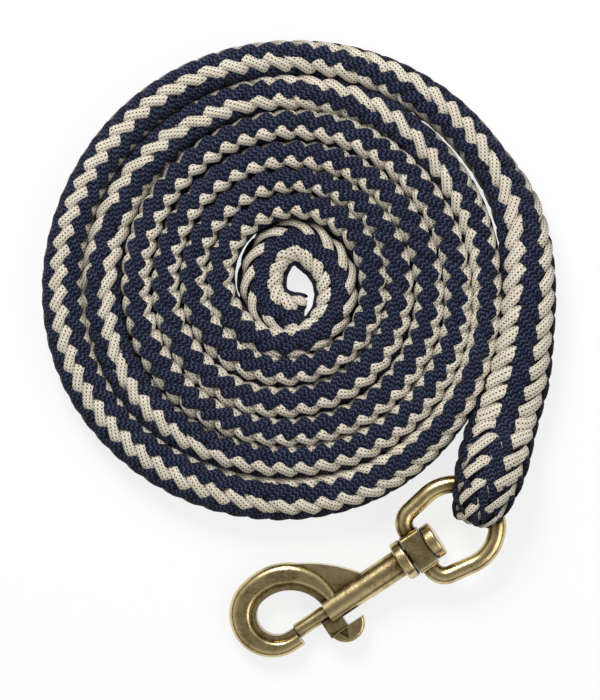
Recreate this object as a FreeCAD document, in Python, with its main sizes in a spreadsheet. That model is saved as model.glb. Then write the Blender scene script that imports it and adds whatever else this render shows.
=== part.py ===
import FreeCAD
import Part
import Sketcher
import math
import os
import re

# Lead rope with a swivel bolt snap, lying as it is put away: the snap in front, and the rope
# wound from it into a flat coil. Millimetres, +Z up, the floor at z = 0. The origin is on the
# floor under the middle of the snap and its ring. Every metal piece is drawn in the snap's own
# frame: x runs from the hook towards the ring along the axis, x = 0 is the collar's outer face,
# y points to the hook's rounded back, and z is up.

SIZES = [
    ("rope_diameter", 15.0, "16-strand braid, loose"),
    ("splice_diameter", 18.6, "braid over its buried tail"),
    ("tail_diameter", 10.6, "tail squeezed inside the braid"),
    ("tail_play", 0.05, "radial room round the tail"),
    ("packed_height", 17.4, "turns that their neighbours squeeze"),
    ("second_turn_width", 12.0, "second turn of the coil, squeezed"),
    ("coil_x", -27.6, "centre of the coil"),
    ("coil_y", 100.5, "centre of the coil"),
    ("coil_start", 25.0, "direction in which the winding begins, degrees"),
    ("eye_width", 18.6, "rope spread along the ring's wire"),
    ("eye_wall", 5.9, "rope flattened round the wire"),
    ("eye_clearance", 0.5, "round the wire, so that the ring swings"),
    ("eye_angle", 24.0, "where the eye sits on the bow, degrees off the axis"),
    ("neck_angle", 68.0, "direction of the rope as it leaves the eye, degrees"),
    ("neck_length", 17.0, "from the eye's axis to the splice"),
    ("neck_start", 6.0, "from the eye's axis to where the legs have met"),
    ("first_run", 13.0, "straight start of the splice"),
    ("last_run", 18.0, "straight end of the run into the coil"),
    ("snap_x", 15.06, "collar's face"),
    ("snap_y", 3.67, "collar's face"),
    ("snap_angle", 34.0, "direction of the snap's axis, degrees"),
    ("barrel_diameter", 10.0, "barrel"),
    ("barrel_length", 31.4, "barrel without its collar"),
    ("collar_diameter", 14.8, "collar"),
    ("collar_length", 4.1, "collar"),
    ("collar_round", 0.9, "edges of the collar"),
    ("hook_thickness", 7.6, "hook, from face to face"),
    ("hook_round", 3.0, "outer edges of the hook"),
    ("nose_radius", 15.4, "outside of the hook's nose"),
    ("nose_back", 52.6, "middle of the nose, back from the collar's face"),
    ("nose_side", 10.0, "middle of the nose, off the axis"),
    ("nose_turn", 105.0, "how far the nose's arc runs above its middle, degrees"),
    ("crown_radius", 26.7, "curve over the hook's top"),
    ("crown_turn", 39.0, "turn of that curve, degrees"),
    ("back_radius", 52.0, "curve from the top down to the barrel"),
    ("opening_radius", 7.1, "front end of the hook's opening"),
    ("opening_back", 51.4, "middle of that end, back from the collar's face"),
    ("opening_side", 8.9, "middle of that end, off the axis"),
    ("heel_radius", 14.6, "curve of the opening down to the barrel"),
    ("heel_turn", 100.0, "where the front end meets that curve, degrees"),
    ("root_depth", 1.9, "how deep the hook's foot is set in the barrel"),
    ("roll_radius", 20.0, "back of the thick roll round the opening"),
    ("roll_turn", 25.0, "turn of the hook's top that the thick roll takes, degrees"),
    ("inner_round", 1.8, "inner edges of the thick roll"),
    ("web_inset", 1.2, "thin web, inside the roll's outline"),
    ("tip_back", 48.9, "face of the hook's tip, back from the collar's face"),
    ("lip_width", 2.0, "bead round the hook's opening"),
    ("lip_thickness", 4.8, "bead round the hook's opening"),
    ("bolt_diameter", 5.5, "bolt"),
    ("bolt_play", 0.07, "radial clearance of the bolt in the barrel"),
    ("bolt_end", 0.4, "bevel of the bolt's two ends"),
    ("bolt_gap", 0.15, "between the bolt's nose and the hook's tip"),
    ("bolt_tail", 27.0, "rear end of the bolt, back from the collar's face"),
    ("bolt_travel", 12.5, "how far the thumb draws the bolt back"),
    ("stem_width", 7.5, "stem of the thumb piece, along the bolt"),
    ("stem_thickness", 3.4, "stem of the thumb piece, across the slot"),
    ("stem_back", 35.75, "middle of the stem, back from the collar's face"),
    ("stem_reach", 8.2, "from the axis to the thumb tab's straight edge"),
    ("slot_play", 0.25, "clearance of the stem in its slot, each side"),
    ("tab_radius", 7.0, "half-moon thumb tab"),
    ("tab_side", 7.0, "middle of the half-moon, off the axis"),
    ("tab_back", 32.35, "middle of the half-moon, back from the collar's face"),
    ("tab_thickness", 4.2, "thumb tab"),
    ("tab_round", 1.2, "edges of the thumb tab"),
    ("dimple_width", 3.4, "thumb's dimple in the tab, along the axis"),
    ("dimple_length", 3.4, "thumb's dimple in the tab, across the axis"),
    ("dimple_depth", 0.7, "thumb's dimple in the tab"),
    ("dimple_side", 8.7, "near edge of the dimple, off the axis"),
    ("dimple_back", 34.3, "middle of the dimple, back from the collar's face"),
    ("pin_diameter", 3.0, "shank that holds the thumb piece in the bolt"),
    ("pin_play", 0.02, "radial clearance of that shank"),
    ("saddle_gap", 0.05, "between the bolt's side and the stem's inner end"),
    ("spring_diameter", 4.9, "return spring, outside"),
    ("spring_wire", 0.6, "return spring"),
    ("spring_turns", 9.0, "return spring"),
    ("spring_gap", 0.05, "at each end of the spring"),
    ("rivet_diameter", 6.0, "shank of the swivel rivet"),
    ("rivet_play", 0.01, "radial clearance of the rivet in the barrel"),
    ("rivet_depth", 6.5, "how far the rivet reaches into the barrel"),
    ("rivet_head", 13.2, "head inside the ring"),
    ("head_length", 4.1, "head inside the ring"),
    ("head_round", 0.8, "edges of the rivet's head"),
    ("swivel_gap", 0.6, "between the collar and the ring"),
    ("head_gap", 0.3, "between the ring and the rivet's head"),
    ("swivel_play", 0.09, "radial clearance of the rivet in the ring"),
    ("ring_wire", 6.4, "wire of the ring"),
    ("bar_cover", 0.35, "of the swivel block over the wire, each side"),
    ("bar_width", 15.0, "block round the swivel hole, across the axis"),
    ("bar_height", 10.6, "block round the swivel hole, from face to face"),
    ("bar_round", 2.0, "edges of that block"),
    ("bow_radius", 15.0, "middle of the wire, round the bow"),
    ("bow_centre", 19.6, "middle of the bow, from the collar's face"),
    ("shoulder_radius", 5.5, "middle of the wire, at the ring's two corners"),
    ("shoulder_side", 8.0, "middle of those corners, off the axis"),
]

# middle of the rope every half turn from the coil's centre, the outermost first
HALF_TURN_RADII = [85.0, 81.4, 69.6, 66.8, 60.0, 54.3, 50.0, 43.9, 39.6, 34.3, 30.0, 25.0, 15.8, 10.5]

# middle of the rope between the straight ends of the stretch from the eye to the coil
ROUTE = [(53.9, 67.8), (58.0, 83.8), (59.6, 101.8)]

# the tail ends in the middle of the run with this number, counted from 0
TAIL_RUNS = 4

COIL_OUTLINE_POINTS = 36

doc = FreeCAD.newDocument("LeadRope")
sheet = doc.addObject("Spreadsheet::Sheet", "Sizes")
for row, (alias, value, note) in enumerate(SIZES, start=1):
    sheet.set(f"A{row}", note)
    sheet.set(f"B{row}", str(value))
    sheet.setAlias(f"B{row}", alias)
doc.recompute()


# ---- helpers ----


def size(alias):
    return float(sheet.get(alias))


def vec(x, y, z=0.0):
    return FreeCAD.Vector(x, y, z)


def polar(radius, degrees, centre=(0.0, 0.0)):
    angle = math.radians(degrees)
    return vec(centre[0] + radius * math.cos(angle), centre[1] + radius * math.sin(angle))


def from_sheet(formula):
    """The formula with each alias written as the sheet's own cell."""
    return re.sub(r"[a-z]\w*(?![\w(])", r"Sizes.\g<0>", formula)


def value(formula):
    """What a formula of the sheet's aliases comes to."""
    return float(sheet.evalExpression(from_sheet(formula)))


def new_body(label):
    body = doc.addObject("PartDesign::Body", label)
    body.Label = label
    return body


def new_sketch(body, name, role="XY_Plane"):
    sketch = body.newObject("Sketcher::SketchObject", name)
    plane = [feature for feature in body.Origin.OriginFeatures if feature.Role == role][0]
    sketch.AttachmentSupport = [(plane, "")]
    sketch.MapMode = "FlatFace"
    return sketch


def add_line(sketch, start, end):
    return sketch.addGeometry(Part.LineSegment(vec(*start), vec(*end)), False)


def add_arc(sketch, centre, radius, from_degrees, to_degrees):
    circle = Part.Circle(vec(*centre), vec(0, 0, 1), radius)
    arc = Part.ArcOfCircle(circle, math.radians(from_degrees), math.radians(to_degrees))
    return sketch.addGeometry(arc, False)


def join(sketch, first, first_end, second, second_end, tangent=False):
    kind = "Tangent" if tangent else "Coincident"
    sketch.addConstraint(Sketcher.Constraint(kind, first, first_end, second, second_end))


def drive(sketch, kind, where, formula):
    """A size that starts as drawn and is then driven by the sheet."""
    if kind == "Radius":
        drawn = sketch.Geometry[where[0]].Radius
    else:
        gap = sketch.getPoint(*where[2:]) - sketch.getPoint(*where[:2])
        drawn = gap.x if kind == "DistanceX" else gap.y
    number = sketch.addConstraint(Sketcher.Constraint(kind, *where, drawn))
    name = f"size_{number}"
    sketch.renameConstraint(number, name)
    sketch.setExpression(f"Constraints.{name}", from_sheet(formula))


def at_face(sketch, edge, end, formula):
    """Puts a point on the y axis, at the collar's face."""
    sketch.addConstraint(Sketcher.Constraint("PointOnObject", edge, end, -2))


def ahead(sketch, edge, end, formula):
    """Puts a point that far from the y axis, towards the ring."""
    drive(sketch, "DistanceX", (-1, 1, edge, end), formula)


def back(sketch, edge, end, formula):
    """Puts a point that far from the y axis, towards the hook."""
    drive(sketch, "DistanceX", (edge, end, -1, 1), formula)


def above(sketch, edge, end, formula):
    drive(sketch, "DistanceY", (-1, 1, edge, end), formula)


def below(sketch, edge, end, formula):
    drive(sketch, "DistanceY", (edge, end, -1, 1), formula)


def closed_outline(sketch, corners):
    """Straight edges from corner to corner, level or upright where they are drawn so."""
    count = len(corners)
    for i in range(count):
        add_line(sketch, corners[i], corners[(i + 1) % count])
    for i in range(count):
        start, end = corners[i], corners[(i + 1) % count]
        join(sketch, i, 2, (i + 1) % count, 1)
        if start[0] == end[0]:
            sketch.addConstraint(Sketcher.Constraint("Vertical", i))
        elif start[1] == end[1]:
            sketch.addConstraint(Sketcher.Constraint("Horizontal", i))


def turned(body, name, ends, radii, kind="PartDesign::Revolution"):
    """A stepped rod, or with a Groove a stepped bore, round the x axis.

    ends are (side, formula) of the steps' ends from left to right, with side back or ahead.
    """
    sketch = new_sketch(body, name + "Profile")
    at = [-value(formula) if side is back else value(formula) for side, formula in ends]
    corners = [(at[0], 0.0)]
    for i, radius in enumerate(radii):
        corners.append((at[i], value(radius)))
        corners.append((at[i + 1], value(radius)))
    corners.append((at[-1], 0.0))
    closed_outline(sketch, corners)
    sketch.addConstraint(Sketcher.Constraint("PointOnObject", 0, 1, -1))
    ends[0][0](sketch, 0, 1, ends[0][1])
    for i, radius in enumerate(radii):
        above(sketch, 2 * i + 1, 1, radius)
        ends[i + 1][0](sketch, 2 * i + 1, 2, ends[i + 1][1])
    feature = body.newObject(kind, name)
    feature.Profile = sketch
    feature.ReferenceAxis = (sketch, ["H_Axis"])
    feature.Angle = 360.0
    doc.recompute()
    return feature


def pad(body, name, sketch, thickness):
    """Pads half of the thickness to each side of the sketch."""
    feature = body.newObject("PartDesign::Pad", name)
    feature.Profile = sketch
    feature.SideType = "Symmetric"
    feature.setExpression("Length", from_sheet(thickness))
    doc.recompute()
    return feature


def rounded(body, name, base, radius, wanted, kind="PartDesign::Fillet"):
    """Rounds, or with a Chamfer bevels, the edges of base that wanted() picks."""
    feature = body.newObject(kind, name)
    names = [f"Edge{i}" for i, edge in enumerate(base.Shape.Edges, start=1) if wanted(edge)]
    feature.Base = (base, names)
    feature.setExpression("Size" if kind.endswith("Chamfer") else "Radius", from_sheet(radius))
    doc.recompute()
    return feature


def must_cut(before, feature):
    """A cut that points away from the solid removes nothing and shows no error."""
    if feature.Shape.Volume > before - 0.01:
        raise RuntimeError(f"{feature.Name} cut nothing")


# ---- where things lie ----

# The eye's hole clears the bow's outside in the middle and its inside at the eye's two ends.
BAR_LENGTH = "(ring_wire + bar_cover * 2)"
BAR_MIDDLE = f"(swivel_gap + {BAR_LENGTH} / 2)"
BOW_OUTSIDE = "(bow_radius + ring_wire / 2)"
BOW_INSIDE = "sqrt((bow_radius - ring_wire / 2) ^ 2 - (eye_width / 2) ^ 2)"
EYE_HOLE = f"({BOW_OUTSIDE} - {BOW_INSIDE}) / 2 + eye_clearance"
AXIS_REACH = f"({BOW_OUTSIDE} + {BOW_INSIDE}) / 2"


def snap_placement():
    """The snap lies on its nose and, at the ring, on the rope under the wire."""
    across = math.radians(size("eye_angle"))
    nose = size("nose_back") + size("nose_radius") - size("hook_round")
    reach = nose + size("bow_centre") + value(AXIS_REACH) * math.cos(across)
    edge = size("hook_thickness") / 2 - size("hook_round")
    rise = value(EYE_HOLE) + size("eye_wall") - size("hook_round")
    pitch = math.asin(rise / math.hypot(reach, edge)) - math.atan2(edge, reach)
    height = nose * math.sin(pitch) + edge * math.cos(pitch) + size("hook_round")
    turn = FreeCAD.Rotation(size("snap_angle"), -math.degrees(pitch), 0)
    return FreeCAD.Placement(vec(size("snap_x"), size("snap_y"), height), turn)


snap_place = snap_placement()
eye_direction = size("snap_angle") + size("eye_angle")
eye_centre = snap_place.multVec(
    polar(value(AXIS_REACH), size("eye_angle"), (size("bow_centre"), 0.0))
)


# ---- snap ----


def hook_outline(sketch, extra, inset, crown_turn, back_radius):
    """The hook seen from above; extra and inset set its inside and outside back from the metal's.

    The outside is three arcs, each tangent to the one before: nose, top and back. The inside
    is two: the front end and the heel. Both sides end at the foot, inside the barrel.
    """
    root = value("barrel_diameter / 2 - root_depth")
    nose = (-size("nose_back"), size("nose_side"))
    turn = size("nose_turn")
    crown = polar(size("nose_radius") - size("crown_radius"), turn, nose)
    crown_end = turn - crown_turn
    nose_radius = value(f"nose_radius - {inset}")
    crown_radius = value(f"crown_radius - {inset}")
    rear = polar(crown_radius - back_radius, crown_end, (crown.x, crown.y))
    rear_end = math.degrees(math.asin((root - rear.y) / back_radius))
    front = (-size("opening_back"), size("opening_side"))
    front_radius = value(f"opening_radius + {extra}")
    heel_radius = value(f"heel_radius + {extra}")
    heel = polar(front_radius - heel_radius, size("heel_turn"), front)
    heel_end = math.degrees(math.asin((root - heel.y) / heel_radius))
    tip = -size("tip_back")
    low = nose[1] - nose_radius
    high = front[1] - front_radius

    outside = add_arc(sketch, nose, nose_radius, turn, 270.0)
    over = add_arc(sketch, (crown.x, crown.y), crown_radius, crown_end, turn)
    down = add_arc(sketch, (rear.x, rear.y), back_radius, rear_end, crown_end)
    inside = add_arc(sketch, front, front_radius, size("heel_turn"), 270.0)
    curve = add_arc(sketch, (heel.x, heel.y), heel_radius, heel_end, size("heel_turn"))
    foot = add_line(sketch, sketch.getPoint(down, 1), sketch.getPoint(curve, 1))
    upper = add_line(sketch, sketch.getPoint(inside, 1 + 1), (tip, high))
    face = add_line(sketch, (tip, high), (tip, low))
    lower = add_line(sketch, (tip, low), sketch.getPoint(outside, 2))
    join(sketch, outside, 1, over, 2)
    join(sketch, over, 1, down, 2)
    join(sketch, down, 1, foot, 1)
    join(sketch, foot, 2, curve, 1)
    join(sketch, curve, 2, inside, 1)
    join(sketch, inside, 2, upper, 1)
    join(sketch, upper, 2, face, 1)
    join(sketch, face, 2, lower, 1)
    join(sketch, lower, 2, outside, 2)
    back(sketch, face, 1, "tip_back")
    drive(sketch, "Radius", (outside,), f"nose_radius - {inset}")
    drive(sketch, "Radius", (inside,), f"opening_radius + {extra}")
    back(sketch, outside, 3, "nose_back")
    above(sketch, outside, 3, "nose_side")
    back(sketch, inside, 3, "opening_back")
    above(sketch, inside, 3, "opening_side")


def in_flat_face(thickness, edge):
    """Whether an edge lies in the top or bottom face of a pad that thick."""
    box = edge.BoundBox
    return box.ZLength < 1e-6 and abs(abs(box.ZMax) - thickness / 2) < 1e-6


def build_snap_body():
    """Hook, barrel and collar, cast in one piece, with the bore for bolt, spring and rivet."""
    body = new_body("snap_body")
    foot = value("barrel_diameter / 2 - root_depth")
    tip = -size("tip_back")
    opening = vec(-size("opening_back"), size("opening_side"))

    sketch = new_sketch(body, "RollSketch")
    hook_outline(sketch, "lip_width", "0", size("roll_turn"), size("roll_radius"))
    roll = pad(body, "Roll", sketch, "hook_thickness")

    def face_edge(edge):
        middle = edge.CenterOfMass
        at_foot = abs(middle.y - foot) < 1e-3
        at_tip = abs(middle.x - tip) < 1e-3
        return in_flat_face(size("hook_thickness"), edge) and not at_foot and not at_tip

    def inner(edge):
        middle = edge.valueAt((edge.FirstParameter + edge.LastParameter) / 2)
        near = math.hypot(middle.x - opening.x, middle.y - opening.y)
        return face_edge(edge) and near < size("nose_radius") - size("lip_width")

    def outer(edge):
        return face_edge(edge) and not inner(edge)

    rounds = rounded(body, "RollOuterRounds", roll, "hook_round", outer)
    rounded(body, "RollInnerRounds", rounds, "inner_round", inner)

    sketch = new_sketch(body, "WebSketch")
    hook_outline(sketch, "0", "web_inset", size("crown_turn"), size("back_radius"))
    pad(body, "Web", sketch, "lip_thickness")

    barrel = turned(
        body,
        "Barrel",
        [(back, "collar_length + barrel_length"), (back, "collar_length"), (at_face, "0")],
        ["barrel_diameter / 2", "collar_diameter / 2"],
    )

    def collar_rim(edge):
        return edge.Closed and abs(edge.BoundBox.ZLength - size("collar_diameter")) < 1e-6

    rims = rounded(body, "CollarRounds", barrel, "collar_round", collar_rim)
    before = rims.Shape.Volume
    bore = turned(
        body,
        "Bore",
        [(back, "collar_length + barrel_length"), (back, "rivet_depth"), (at_face, "0")],
        ["bolt_diameter / 2 + bolt_play", "rivet_diameter / 2 + rivet_play"],
        "PartDesign::Groove",
    )
    must_cut(before, bore)

    sketch = new_sketch(body, "SlotSketch", "XZ_Plane")
    front = -value("collar_length + barrel_length + 1")
    half = value("stem_thickness / 2 + slot_play")
    end = value("-stem_back + stem_width / 2 + bolt_travel + slot_play")
    closed_outline(sketch, [(front, -half), (end, -half), (end, half), (front, half)])
    below(sketch, 0, 1, "stem_thickness / 2 + slot_play")
    above(sketch, 2, 1, "stem_thickness / 2 + slot_play")
    back(sketch, 0, 1, "collar_length + barrel_length + 1")
    back(sketch, 1, 1, "stem_back - stem_width / 2 - bolt_travel - slot_play")
    before = bore.Shape.Volume
    slot = body.newObject("PartDesign::Pocket", "Slot")
    slot.Profile = sketch
    slot.Reversed = True
    slot.setExpression("Length", from_sheet("barrel_diameter"))
    doc.recompute()
    must_cut(before, slot)
    body.Placement = snap_place
    return body


def build_bolt():
    """Rod that closes the hook, drilled across for the thumb piece's shank."""
    body = new_body("bolt")
    rod = turned(
        body,
        "Rod",
        [(back, "tip_back - bolt_gap"), (back, "bolt_tail")],
        ["bolt_diameter / 2"],
    )
    ends = rounded(body, "RodEnds", rod, "bolt_end", lambda e: e.Closed, "PartDesign::Chamfer")
    before = ends.Shape.Volume
    sketch = new_sketch(body, "CrossHoleSketch", "XZ_Plane")
    circle = Part.Circle(vec(-size("stem_back"), 0), vec(0, 0, 1), value("pin_diameter / 2 + pin_play"))
    hole = sketch.addGeometry(circle, False)
    sketch.addConstraint(Sketcher.Constraint("PointOnObject", hole, 3, -1))
    back(sketch, hole, 3, "stem_back")
    drive(sketch, "Radius", (hole,), "pin_diameter / 2 + pin_play")
    cut = body.newObject("PartDesign::Pocket", "CrossHole")
    cut.Profile = sketch
    cut.SideType = "Symmetric"
    cut.setExpression("Length", from_sheet("bolt_diameter * 2"))
    doc.recompute()
    must_cut(before, cut)
    body.Placement = snap_place
    return body


def build_thumb_piece():
    """Half-moon tab on a flat stem, with the shank that is fixed in the bolt."""
    body = new_body("thumb_piece")
    sketch = new_sketch(body, "TabSketch")
    middle = (-size("tab_back"), -size("tab_side"))
    drop = math.degrees(math.asin(value("(stem_reach - tab_side) / tab_radius")))
    moon = add_arc(sketch, middle, size("tab_radius"), 180.0 + drop, 360.0 - drop)
    edge = add_line(sketch, sketch.getPoint(moon, 2), sketch.getPoint(moon, 1))
    join(sketch, moon, 2, edge, 1)
    join(sketch, edge, 2, moon, 1)
    sketch.addConstraint(Sketcher.Constraint("Horizontal", edge))
    back(sketch, moon, 3, "tab_back")
    below(sketch, moon, 3, "tab_side")
    drive(sketch, "Radius", (moon,), "tab_radius")
    below(sketch, edge, 1, "stem_reach")
    tab = pad(body, "Tab", sketch, "tab_thickness")

    def moon_edge(edge):
        curved = edge.Curve.TypeId == "Part::GeomCircle"
        return curved and in_flat_face(size("tab_thickness"), edge)

    rounded(body, "TabRounds", tab, "tab_round", moon_edge)

    left = -value("stem_back + stem_width / 2")
    right = -value("stem_back - stem_width / 2")
    top = -value("bolt_diameter / 2 + saddle_gap")
    low = -value("tab_side + stem_width / 4")
    sketch = new_sketch(body, "StemSketch")
    closed_outline(sketch, [(left, low), (right, low), (right, top), (left, top)])
    back(sketch, 0, 1, "stem_back + stem_width / 2")
    back(sketch, 1, 1, "stem_back - stem_width / 2")
    below(sketch, 2, 1, "bolt_diameter / 2 + saddle_gap")
    below(sketch, 0, 1, "tab_side + stem_width / 4")
    pad(body, "Stem", sketch, "stem_thickness")

    sketch = new_sketch(body, "DimpleSketch")
    sketch.setExpression("AttachmentOffset.Base.z", from_sheet("tab_thickness / 2"))
    base = value("-dimple_side")
    wide = value("dimple_width / 2")
    centre = -size("dimple_back")
    apex = (centre, base - size("dimple_length"))
    closed_outline(sketch, [(centre - wide, base), apex, (centre + wide, base)])
    doc.recompute()
    before = body.Shape.Volume
    dimple = body.newObject("PartDesign::Pocket", "Dimple")
    dimple.Profile = sketch
    dimple.setExpression("Length", from_sheet("dimple_depth"))
    doc.recompute()
    must_cut(before, dimple)

    sketch = new_sketch(body, "ShankSketch", "XZ_Plane")
    circle = Part.Circle(vec(-size("stem_back"), 0), vec(0, 0, 1), size("pin_diameter") / 2)
    shank = sketch.addGeometry(circle, False)
    sketch.addConstraint(Sketcher.Constraint("PointOnObject", shank, 3, -1))
    back(sketch, shank, 3, "stem_back")
    drive(sketch, "Radius", (shank,), "pin_diameter / 2")
    feature = body.newObject("PartDesign::Pad", "Shank")
    feature.Profile = sketch
    feature.SideType = "Two sides"
    feature.setExpression("Length", from_sheet("bolt_diameter / 2 + saddle_gap + pin_diameter / 2"))
    feature.setExpression("Length2", from_sheet("bolt_diameter / 2 - bolt_end"))
    doc.recompute()
    body.Placement = snap_place
    return body


def build_bolt_spring():
    """Compression spring between the bolt's rear end and the rivet."""
    body = new_body("bolt_spring")
    start = "bolt_tail - spring_gap - spring_wire / 2"
    room = "bolt_tail - rivet_depth - 2 * spring_gap - spring_wire"
    sketch = new_sketch(body, "WireSketch")
    middle = vec(-value(start), value("(spring_diameter - spring_wire) / 2"))
    wire = sketch.addGeometry(Part.Circle(middle, vec(0, 0, 1), size("spring_wire") / 2), False)
    back(sketch, wire, 3, start)
    above(sketch, wire, 3, "(spring_diameter - spring_wire) / 2")
    drive(sketch, "Radius", (wire,), "spring_wire / 2")
    coil = body.newObject("PartDesign::AdditiveHelix", "Coil")
    coil.Profile = sketch
    coil.ReferenceAxis = (sketch, ["H_Axis"])
    coil.Mode = "height-turns-growth"
    coil.setExpression("Height", from_sheet(room))
    coil.setExpression("Turns", from_sheet("spring_turns"))
    doc.recompute()
    body.Placement = snap_place
    return body


def build_swivel_rivet():
    """Headed pin that holds the ring to the barrel and lets it turn."""
    body = new_body("swivel_rivet")
    head = f"swivel_gap + {BAR_LENGTH} + head_gap"
    pin = turned(
        body,
        "Pin",
        [(back, "rivet_depth"), (ahead, head), (ahead, f"{head} + head_length")],
        ["rivet_diameter / 2", "rivet_head / 2"],
    )

    def head_rim(edge):
        return edge.Closed and abs(edge.BoundBox.ZLength - size("rivet_head")) < 1e-6

    rounded(body, "HeadRounds", pin, "head_round", head_rim)
    body.Placement = snap_place
    return body


def build_swivel_ring():
    """D-shaped ring, with a drilled block across its flat side for the rivet."""
    body = new_body("swivel_ring")
    bar = value(BAR_MIDDLE)
    corner = bar + size("shoulder_radius")
    aside = size("shoulder_side")
    bow_radius = size("bow_radius")
    corner_radius = size("shoulder_radius")
    reach = size("bow_centre") - corner
    spread = math.acos((corner_radius - bow_radius) / math.hypot(reach, aside))
    turn = math.degrees(spread - math.atan2(aside, reach))
    path = new_sketch(body, "RingPath")
    bow_end = polar(bow_radius, turn, (size("bow_centre"), 0.0))
    corner_end = polar(corner_radius, turn, (corner, aside))
    bow = add_arc(path, (size("bow_centre"), 0.0), bow_radius, -turn, turn)
    left = add_line(path, (bow_end.x, bow_end.y), (corner_end.x, corner_end.y))
    upper = add_arc(path, (corner, aside), corner_radius, turn, 180.0)
    top = add_line(path, (bar, aside), (bar, 0.0))
    bottom = add_line(path, (bar, 0.0), (bar, -aside))
    lower = add_arc(path, (corner, -aside), corner_radius, 180.0, 360.0 - turn)
    right = add_line(path, (corner_end.x, -corner_end.y), (bow_end.x, -bow_end.y))
    join(path, bow, 2, left, 1, tangent=True)
    join(path, left, 2, upper, 1, tangent=True)
    join(path, upper, 2, top, 1, tangent=True)
    join(path, top, 2, bottom, 1)
    join(path, bottom, 2, lower, 1, tangent=True)
    join(path, lower, 2, right, 1, tangent=True)
    join(path, right, 2, bow, 1, tangent=True)
    path.addConstraint(Sketcher.Constraint("PointOnObject", bow, 3, -1))
    path.addConstraint(Sketcher.Constraint("PointOnObject", top, 2, -1))
    path.addConstraint(Sketcher.Constraint("Vertical", top))
    path.addConstraint(Sketcher.Constraint("Equal", upper, lower))
    ahead(path, bow, 3, "bow_centre")
    ahead(path, top, 2, BAR_MIDDLE)
    above(path, upper, 3, "shoulder_side")
    below(path, lower, 3, "shoulder_side")
    drive(path, "Radius", (bow,), "bow_radius")
    drive(path, "Radius", (upper,), "shoulder_radius")

    section = new_sketch(body, "WireSection", "XZ_Plane")
    circle = section.addGeometry(Part.Circle(vec(bar, 0), vec(0, 0, 1), size("ring_wire") / 2), False)
    section.addConstraint(Sketcher.Constraint("PointOnObject", circle, 3, -1))
    ahead(section, circle, 3, BAR_MIDDLE)
    drive(section, "Radius", (circle,), "ring_wire / 2")
    wire = body.newObject("PartDesign::AdditivePipe", "Wire")
    wire.Profile = section
    wire.Spine = path
    doc.recompute()

    sketch = new_sketch(body, "BlockSketch")
    near = value("swivel_gap")
    far = value(f"swivel_gap + {BAR_LENGTH}")
    half = size("bar_width") / 2
    closed_outline(sketch, [(near, -half), (far, -half), (far, half), (near, half)])
    ahead(sketch, 0, 1, "swivel_gap")
    ahead(sketch, 1, 1, f"swivel_gap + {BAR_LENGTH}")
    below(sketch, 0, 1, "bar_width / 2")
    above(sketch, 2, 1, "bar_width / 2")
    block = pad(body, "Block", sketch, "bar_height")

    def block_edge(edge):
        box = edge.BoundBox
        level = in_flat_face(size("bar_height"), edge)
        return level and box.XLength > box.YLength

    rounds = rounded(body, "BlockRounds", block, "bar_round", block_edge)
    before = rounds.Shape.Volume
    bore = turned(
        body,
        "SwivelHole",
        [(at_face, "0"), (ahead, f"swivel_gap + {BAR_LENGTH} + head_gap / 2")],
        ["rivet_diameter / 2 + swivel_play"],
        "PartDesign::Groove",
    )
    must_cut(before, bore)
    body.Placement = snap_place
    return body


# ---- rope ----


def build_rope_eye():
    """Loop of the rope round the ring's wire, with the start of its neck."""
    level = FreeCAD.Rotation(eye_direction, 0, 0).multiply(FreeCAD.Rotation(vec(1, 0, 0), 90))
    axis = vec(eye_centre.x, eye_centre.y, value(f"{EYE_HOLE} + eye_wall"))
    loop = doc.addObject("Part::Cylinder", "EyeLoop")
    loop.setExpression("Radius", from_sheet(f"{EYE_HOLE} + eye_wall"))
    loop.setExpression("Height", from_sheet("eye_width"))
    half = size("eye_width") / 2
    loop.Placement = FreeCAD.Placement(axis + level.multVec(vec(0, 0, -half)), level)
    neck = doc.addObject("Part::Cylinder", "EyeNeck")
    neck.setExpression("Radius", from_sheet("splice_diameter / 2"))
    neck.setExpression("Height", from_sheet("neck_length - neck_start"))
    out = FreeCAD.Rotation(size("neck_angle"), 0, 0).multiply(FreeCAD.Rotation(vec(0, 1, 0), 90))
    start = polar(size("neck_start"), size("neck_angle"), (eye_centre.x, eye_centre.y))
    neck.Placement = FreeCAD.Placement(vec(start.x, start.y, size("splice_diameter") / 2), out)
    hole = doc.addObject("Part::Cylinder", "EyeHole")
    hole.setExpression("Radius", from_sheet(EYE_HOLE))
    hole.setExpression("Height", from_sheet("eye_width * 2"))
    hole.Placement = FreeCAD.Placement(axis + level.multVec(vec(0, 0, -2 * half)), level)
    whole = doc.addObject("Part::Fuse", "EyeWhole")
    whole.Base = loop
    whole.Tool = neck
    eye = doc.addObject("Part::Cut", "rope_eye")
    eye.Label = "rope_eye"
    eye.Base = whole
    eye.Tool = hole
    return eye


def coil_radius(turns):
    """Middle of the rope from the coil's centre, smooth through the half-turn radii."""
    place = min(max(turns * 2, 0.0), len(HALF_TURN_RADII) - 1.001)
    i = int(place)
    t = place - i
    last = len(HALF_TURN_RADII) - 1
    a, b, c, d = (HALF_TURN_RADII[min(max(k, 0), last)] for k in range(i - 1, i + 3))
    return b + t / 2 * (c - a + t * (2 * a - 5 * b + 4 * c - d + t * (3 * (b - c) + d - a)))


def coil_point(degrees, extra=0.0):
    radius = coil_radius(degrees / 360.0) + extra
    return polar(radius, degrees, (size("coil_x"), size("coil_y")))


def route():
    """Middle of the rope from the eye's neck to the coil, straight at both ends."""
    neck_end = polar(size("neck_length"), size("neck_angle"), (eye_centre.x, eye_centre.y))
    second = polar(size("first_run"), size("neck_angle"), (neck_end.x, neck_end.y))
    wind = coil_point(size("coil_start"))
    before = polar(size("last_run"), size("coil_start") - 90.0, (wind.x, wind.y))
    return [neck_end, second] + [vec(*point) for point in ROUTE] + [before, wind]


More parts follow.
